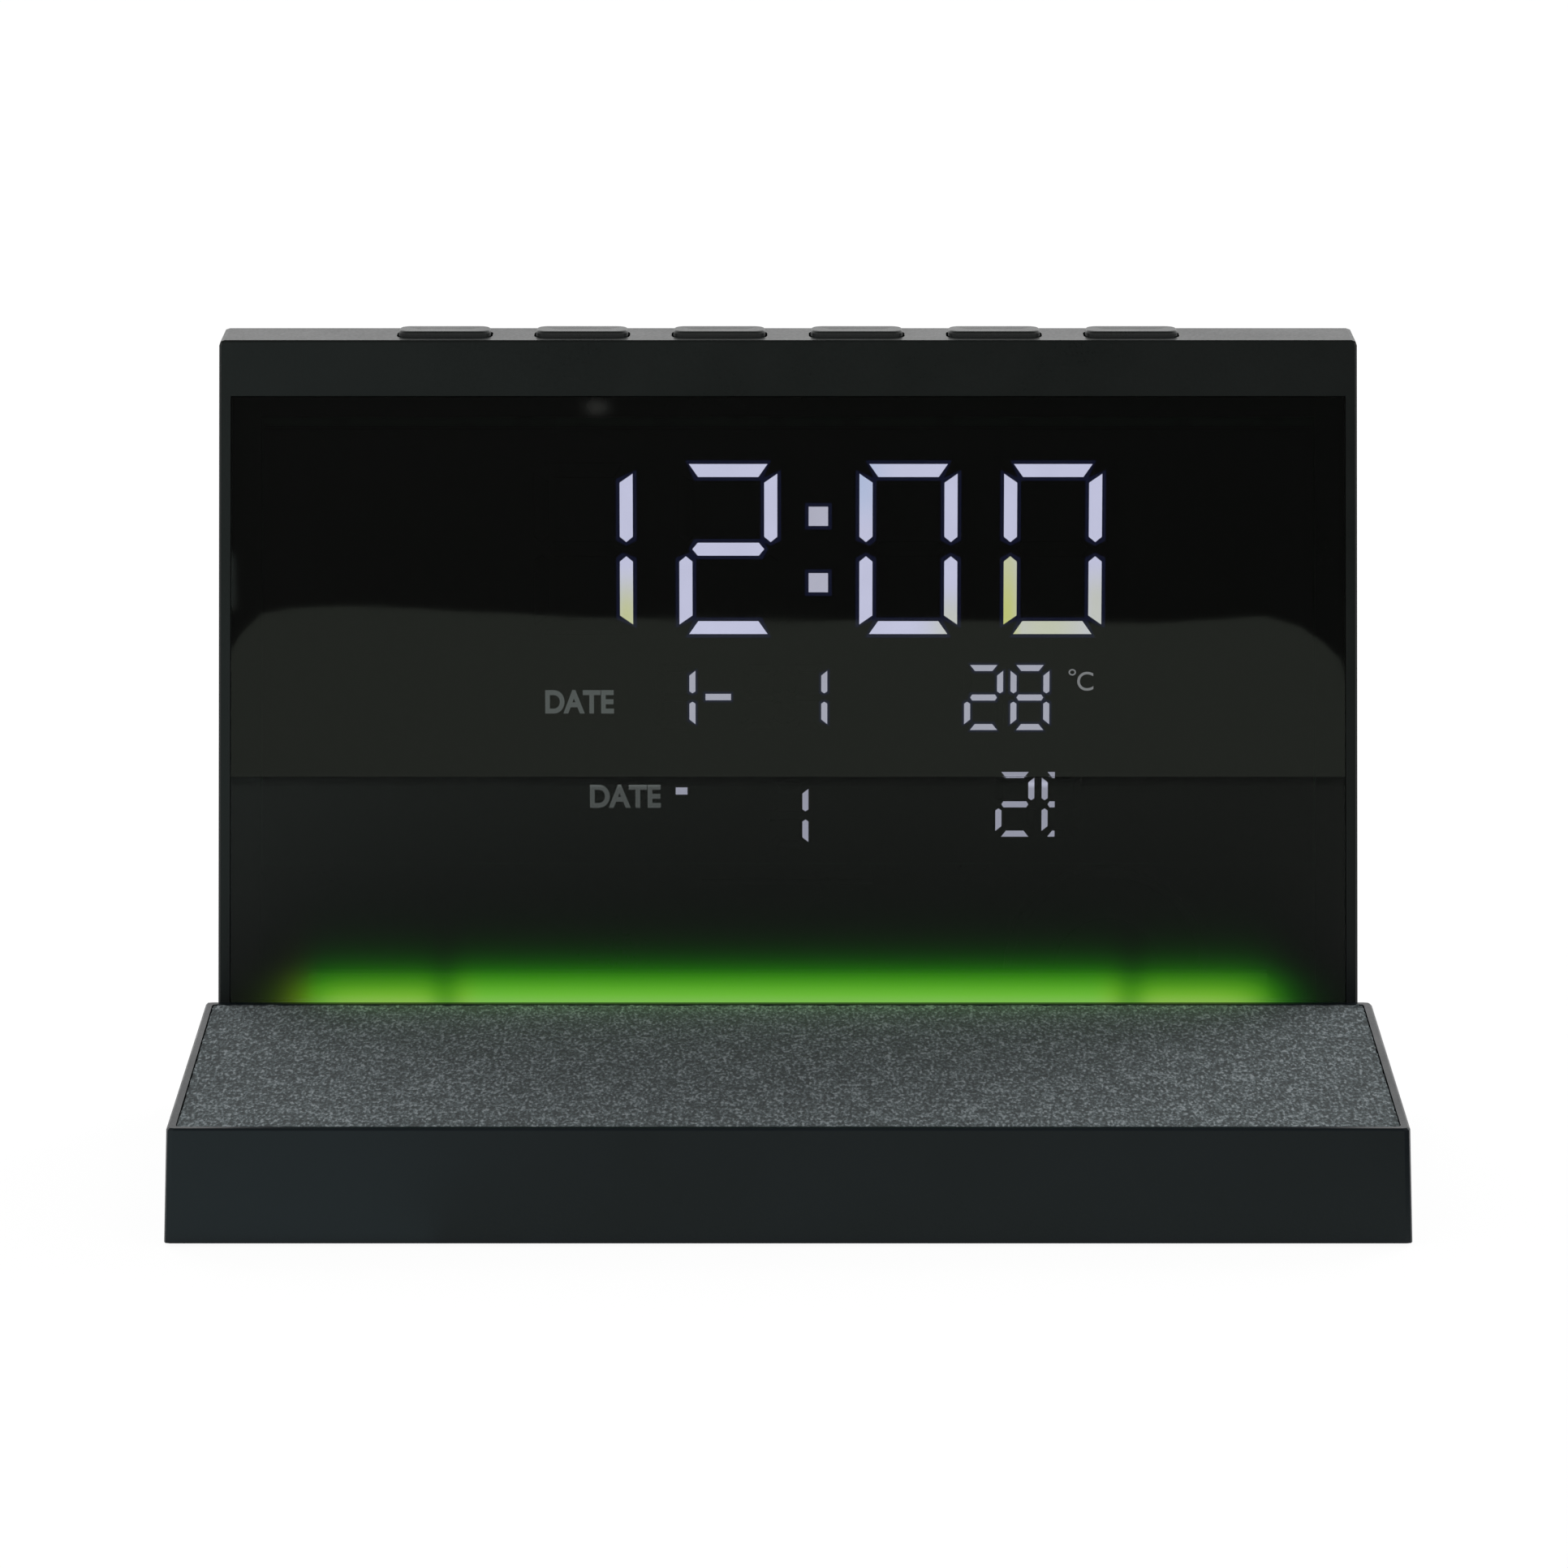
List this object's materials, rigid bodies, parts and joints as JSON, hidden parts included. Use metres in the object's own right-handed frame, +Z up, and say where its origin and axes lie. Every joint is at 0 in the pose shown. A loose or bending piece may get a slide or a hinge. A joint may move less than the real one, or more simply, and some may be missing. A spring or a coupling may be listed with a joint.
{
  "type": "wireless charging alarm clock",
  "caption": "Upright alarm clock: a thin display tower with push buttons on top, behind a low fabric-topped charging base.",
  "frame": {"origin": "middle of the footprint, on the surface that the feet stand on", "axes": "+X to the right of someone who faces the display, along the longest side; +Y to the rear; +Z up"},
  "size_m": [0.176, 0.0936, 0.1182],
  "materials": {
    "moulded_plastic": "fine matt moulding",
    "smoked_window": "polished smoked tint",
    "smoked_panel": "satin smoked tint",
    "black_plastic": "matt",
    "milky_resin": "milky, lit from behind",
    "lamp_resin": "clear, lit green",
    "circuit_board": "green solder mask",
    "pad_fabric": "short mottled grey felt",
    "steel": "plated",
    "brass": "bright",
    "copper": "enamelled copper",
    "ferrite": "matt dark ferrite",
    "dark_rubber": "matt",
    "foam": "closed foam",
    "flat_cable": "flat ribbon"
  },
  "bodies": {
    "clock_body": {"tower_housing": "moulded_plastic", "rear_cover": "moulded_plastic", "display_window": "smoked_window", "lamp_panel": "smoked_panel", "display_reflector": "black_plastic", "segment_diffuser": "milky_resin", "display_board": "circuit_board", "button_board": "circuit_board", "light_sensor": "milky_resin", "temperature_sensor": "black_plastic", "light_bar": "lamp_resin", "lamp_board": "circuit_board", "speaker": "steel", "speaker_gasket": "foam", "coin_cell": "steel", "cell_contact": "brass", "power_socket": "steel", "power_board": "circuit_board", "rear_cover_screw_1": "steel", "rear_cover_screw_2": "steel", "rear_cover_screw_3": "steel", "rear_cover_screw_4": "steel", "display_screw_1": "steel", "display_screw_2": "steel", "display_screw_3": "steel", "display_screw_4": "steel", "joint_screw_1": "steel", "joint_screw_2": "steel", "tower_foot_1": "dark_rubber", "tower_foot_2": "dark_rubber", "base_housing": "moulded_plastic", "base_bottom": "black_plastic", "pad_plate": "black_plastic", "pad_fabric": "pad_fabric", "charging_coil": "copper", "ferrite_disc": "ferrite", "charger_board": "circuit_board", "charger_lead": "flat_cable", "base_foot_1": "dark_rubber", "base_foot_2": "dark_rubber", "base_screw_1": "steel", "base_screw_2": "steel", "base_screw_3": "steel", "base_screw_4": "steel"},
    "door": {"battery_door": "moulded_plastic"},
    "button_1": {"top_button_1": "moulded_plastic"},
    "button_2": {"top_button_2": "moulded_plastic"},
    "button_3": {"top_button_3": "moulded_plastic"},
    "button_4": {"top_button_4": "moulded_plastic"},
    "button_5": {"top_button_5": "moulded_plastic"},
    "button_6": {"top_button_6": "moulded_plastic"}
  },
  "joints": [
    {"name": "battery_door_hinge", "type": "hinge", "parent": "clock_body", "child": "door", "pos_m": [0, 0.0457, 0.01035], "axis": [-1, 0, 0], "range_deg": [0, 75]},
    {"name": "button_1_press", "type": "slide", "parent": "clock_body", "child": "button_1", "axis": [0, 0, -1], "range_m": [0, 0.0006], "stiffness_N_per_m": 500},
    {"name": "button_2_press", "type": "slide", "parent": "clock_body", "child": "button_2", "axis": [0, 0, -1], "range_m": [0, 0.0006], "stiffness_N_per_m": 500},
    {"name": "button_3_press", "type": "slide", "parent": "clock_body", "child": "button_3", "axis": [0, 0, -1], "range_m": [0, 0.0006], "stiffness_N_per_m": 500},
    {"name": "button_4_press", "type": "slide", "parent": "clock_body", "child": "button_4", "axis": [0, 0, -1], "range_m": [0, 0.0006], "stiffness_N_per_m": 500},
    {"name": "button_5_press", "type": "slide", "parent": "clock_body", "child": "button_5", "axis": [0, 0, -1], "range_m": [0, 0.0006], "stiffness_N_per_m": 500},
    {"name": "button_6_press", "type": "slide", "parent": "clock_body", "child": "button_6", "axis": [0, 0, -1], "range_m": [0, 0.0006], "stiffness_N_per_m": 500}
  ]
}
